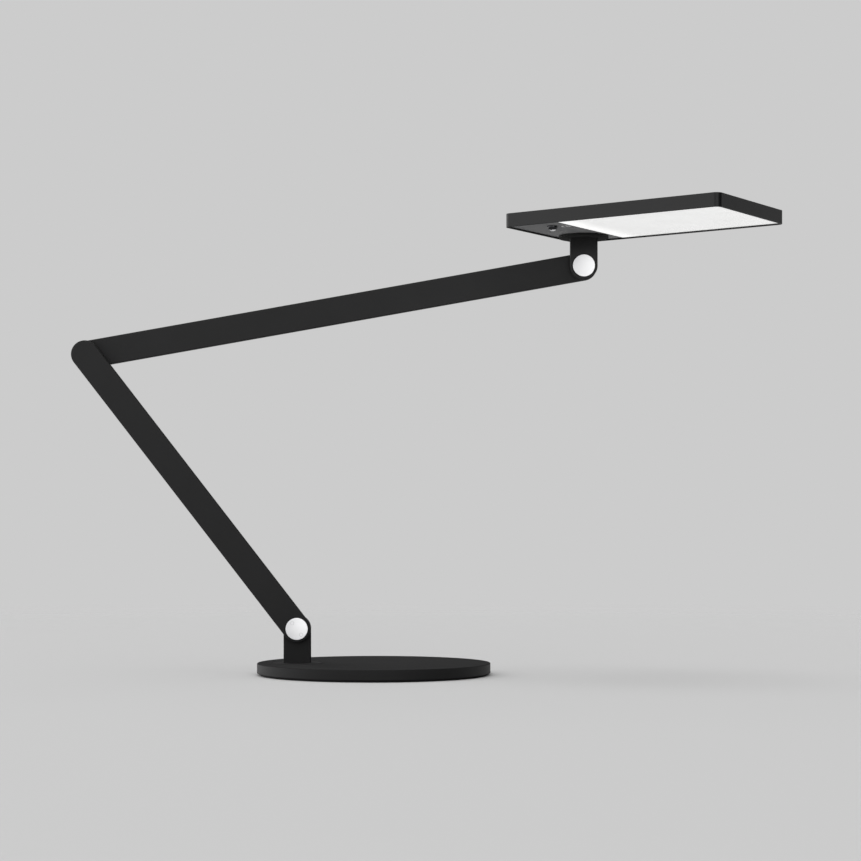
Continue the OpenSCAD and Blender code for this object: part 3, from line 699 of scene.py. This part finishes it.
buildBracket(bracket)

# ---- head ----

head = {"length": 227 * mm, "width": 135 * mm, "endToSwivel": 27.5 * mm, "rearToSwivel": 32.5 * mm,
        "height": 13 * mm, "corner": 6 * mm, "wall": 1.5 * mm, "edge": 0.35 * mm, "lip": 0.15 * mm}


def headCorners(inset):
    x0 = -head["endToSwivel"]
    y1 = head["rearToSwivel"]
    return x0 + inset, y1 - head["width"] + inset, x0 + head["length"] - inset, y1 - inset


def buildHousing(look):
    bm = bmesh.new()
    wall, lip, height = look["wall"], look["lip"], look["height"]
    steps = roundSteps(look["edge"], 3)
    rims = [(wall, height - wall), (wall, lip), (wall - lip, 0)]
    rims += steps + [(inset, height - drop) for inset, drop in reversed(steps)]
    loops = [boxLoop(bm, headCorners(inset), look["corner"] - inset, level) for inset, level in rims]
    joinLoops(bm, loops)
    housing = meshFrom("headHousing", bm, headPlace)
    finish = makeFinish("housingBlack", finishes["head_black"], tuple(neck), (0, 0, headTurn))
    finishPiece(housing, "head", finish, ["head_housing"])


buildHousing(head)

# brighter near the end by the control panel
opal = dict(finishes["diffuser_opal"], glowZone=(30 * mm, 52 * mm, 0.7))
opalPlaced = makeFinish("diffuserPlaced", opal, tuple(neck), (0, 0, headTurn))
for holder in frame["nodes"]["diffuser"].material_slots:
    holder.material = opalPlaced

# the fade holds the start, the end and the along-X switch of the painted reflection on the dome
button = {"radius": 5.1 * mm, "dome": 5.2 * mm, "rings": 14, "fade": (-1.7 * mm, -1.1 * mm, 1.0),
          "wall": 2 * mm, "collar": 6.1 * mm, "collarLow": 2.1 * mm, "collarHigh": 2.9 * mm,
          "stem": 1.3 * mm, "stemGap": 0.05 * mm}


def buildButton(look):
    low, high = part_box("power_button")
    middle = (low + high) / 2
    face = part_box("control_panel")[0].z
    rings = []
    for i in range(1, look["rings"] + 1):
        turn = math.radians(90) * i / look["rings"]
        rings.append((look["radius"] * math.sin(turn), face - look["dome"] * math.cos(turn)))
    rings += [(look["radius"], face + look["wall"]), (look["collar"], face + look["collarLow"]),
              (look["collar"], face + look["collarHigh"]), (look["stem"], face + look["collarHigh"]),
              (look["stem"], high.z - look["stemGap"])]
    bm = bmesh.new()
    stackRings(bm, rings, segments=64)
    dome = meshFrom("powerButton", bm, Matrix.Translation((middle.x, middle.y, 0)))
    # painted reflection: the upper part of the chrome dome is painted dark, standing in for the dark things it
    # mirrors; X points down here
    chromeDarkReflection = dict(finishes["button_chrome"], fade=look["fade"], fadeColour=(0.03, 0.03, 0.032))
    tip = (middle.x, middle.y, face - look["dome"])
    finish = makeFinish("buttonChromeDarkReflection", chromeDarkReflection, tip, (0, math.radians(90), 0))
    finishPiece(dome, "button", finish, ["power_button"])


buildButton(button)

symbol = {"outer": 4.4 * mm, "inner": 3.5 * mm, "gap": 40, "bar": 0.9 * mm, "barLength": 3.84 * mm,
          "barMiddle": 2.88 * mm, "proud": 0.05 * mm, "apart": (9.8 * mm, 8.5 * mm, 0)}


def buildSymbol(look):
    # a plain ring with a stroke through its gap, beside the button
    low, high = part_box("power_button")
    beside = Vector(((low.x + high.x) / 2, (low.y + high.y) / 2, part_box("control_panel")[0].z))
    place = Matrix.Translation(beside) @ Matrix.Rotation(headTurn, 4, "Z") @ Matrix.Translation(look["apart"])
    bm = bmesh.new()
    start = math.radians(90 + look["gap"])
    made = bmesh.ops.create_grid(bm, x_segments=1, y_segments=1, size=0.5)
    for vert in made["verts"]:
        reach = look["outer"] if vert.co.x > 0 else look["inner"]
        depth = -look["proud"] if vert.co.y > 0 else look["proud"]
        vert.co = (math.cos(start) * reach, math.sin(start) * reach, depth)
    turn = math.radians(360 - 2 * look["gap"])
    bmesh.ops.spin(bm, geom=bm.verts[:] + bm.edges[:] + bm.faces[:], cent=(0, 0, 0), axis=(0, 0, 1),
                   angle=turn, steps=36)
    size = Matrix.Diagonal((look["bar"], look["barLength"], 2 * look["proud"], 1))
    bmesh.ops.create_cube(bm, size=1, matrix=Matrix.Translation((0, look["barMiddle"], 0)) @ size)
    mark = meshFrom("powerSymbol", bm, place)
    finishPiece(mark, "head", materials["frame_white"])


buildSymbol(symbol)

# ---- floor and light ----

studio = {
    "world": (0.604, 0.604, 0.604), "floor": (0.6, 0.6, 0.6), "floorRadius": 6.0, "floorHole": 0.105,
    "floorFade": (0.9, 2.2),
    # tone of the studio by direction, in degrees from the front, positive to the right
    "around": [(-180, 0.03), (-168, 0.03), (-150, 1.0), (-120, 1.9), (-90, 2.1), (-62, 1.6), (-40, 1.2),
               (-20, 0.85), (-8, 1.1), (4, 1.5), (17, 1.8), (28, 1.1), (42, 0.05), (95, 0.05), (112, 0.46),
               (135, 0.4), (160, 0.15), (180, 0.03)],
    # gain and share of the zenith by height, as the sine of the angle above the horizon, then the values
    "rise": (0.0, 0.15, 1.6, 0.85), "zenith": (0.5, 0.8, 0.0, 1.0), "zenithTone": 0.85,
}
overhead = {"power": 0.62, "spread": 38, "tilt": (4, -3, 0)}


def buildFloor(look):
    # open under the foot pad, so the underside can be seen
    bm = bmesh.new()
    rims = []
    for radius in (look["floorHole"], look["floorRadius"]):
        made = bmesh.ops.create_circle(bm, cap_ends=False, segments=96, radius=radius)
        rims += list({edge for vert in made["verts"] for edge in vert.link_edges})
    bmesh.ops.bridge_loops(bm, edges=rims)
    bmesh.ops.recalc_face_normals(bm, faces=bm.faces)
    if next(iter(bm.faces)).normal.z < 0:
        bmesh.ops.reverse_faces(bm, faces=bm.faces)
    mesh = bpy.data.meshes.new("studioFloor")
    bm.to_mesh(mesh)
    bm.free()
    floor = bpy.data.objects.new("studioFloor", mesh)
    scene.collection.objects.link(floor)
    material = bpy.data.materials.new("studioFloor")
    material.use_nodes = True
    tree = material.node_tree
    shader = tree.nodes["Principled BSDF"]
    shader.inputs["Roughness"].default_value = 0.9
    shader.inputs["Specular IOR Level"].default_value = 0.1
    shader.inputs["Base Color"].default_value = (*look["floor"], 1)
    # the floor melts into the backdrop far out, and can't be seen from below
    coords = tree.nodes.new("ShaderNodeTexCoord")
    length = tree.nodes.new("ShaderNodeVectorMath")
    length.operation = "LENGTH"
    tree.links.new(coords.outputs["Object"], length.inputs[0])
    fade = rangeNode(tree, length.outputs["Value"], (*look["floorFade"], 1.0, 0.0))
    side = tree.nodes.new("ShaderNodeNewGeometry")
    seen = mathNode(tree, "SUBTRACT", 1.0, side.outputs["Backfacing"])
    tree.links.new(mathNode(tree, "MULTIPLY", fade, seen), shader.inputs["Alpha"])
    mesh.materials.append(material)


def addLight(look):
    # a wide, distant overhead light for the soft shadow
    data = bpy.data.lights.new("overhead", "SUN")
    data.energy = look["power"]
    data.angle = math.radians(look["spread"])
    light = bpy.data.objects.new("overhead", data)
    scene.collection.objects.link(light)
    light.location = (0, 0, 2)
    light.rotation_euler = [math.radians(turn) for turn in look["tilt"]]


def buildWorld(look):
    # the camera sees one even tone, and the lamp is lit by a studio that changes with direction
    world = bpy.data.worlds.new("studio")
    world.use_nodes = True
    tree = world.node_tree
    seenSky = tree.nodes["Background"]
    seenSky.inputs["Color"].default_value = (*look["world"], 1)
    litSky = tree.nodes.new("ShaderNodeBackground")
    litSky.inputs["Color"].default_value = (1, 1, 1, 1)
    coords = tree.nodes.new("ShaderNodeTexCoord")
    axes = splitAxes(tree, coords.outputs["Generated"])
    bearing = mathNode(tree, "ARCTAN2", axes["X"], mathNode(tree, "MULTIPLY", axes["Y"], -1.0))
    ramp = tree.nodes.new("ShaderNodeValToRGB")
    ramp.color_ramp.interpolation = "EASE"
    stops = ramp.color_ramp.elements
    while len(stops) < len(look["around"]):
        stops.new(0.5)
    for stop, (angle, tone) in zip(stops, look["around"]):
        stop.position = angle / 360 + 0.5
        stop.color = (tone, tone, tone, 1)
    tree.links.new(mathNode(tree, "MULTIPLY_ADD", bearing, 0.5 / math.pi, 0.5), ramp.inputs["Fac"])
    rise = rangeNode(tree, axes["Z"], look["rise"])
    zenith = rangeNode(tree, axes["Z"], look["zenith"])
    ring = mathNode(tree, "MULTIPLY", ramp.outputs["Color"], rise)
    sides = mathNode(tree, "MULTIPLY", ring, mathNode(tree, "SUBTRACT", 1.0, zenith))
    tone = mathNode(tree, "ADD", sides, mathNode(tree, "MULTIPLY", zenith, look["zenithTone"]))
    tree.links.new(tone, litSky.inputs["Strength"])
    path = tree.nodes.new("ShaderNodeLightPath")
    mix = tree.nodes.new("ShaderNodeMixShader")
    for slot, value in enumerate((path.outputs["Is Camera Ray"], litSky.outputs[0], seenSky.outputs[0])):
        tree.links.new(value, mix.inputs[slot])
    tree.links.new(mix.outputs[0], tree.nodes["World Output"].inputs["Surface"])
    scene.world = world


buildFloor(studio)
buildWorld(studio)
addLight(overhead)
print("studio ready")
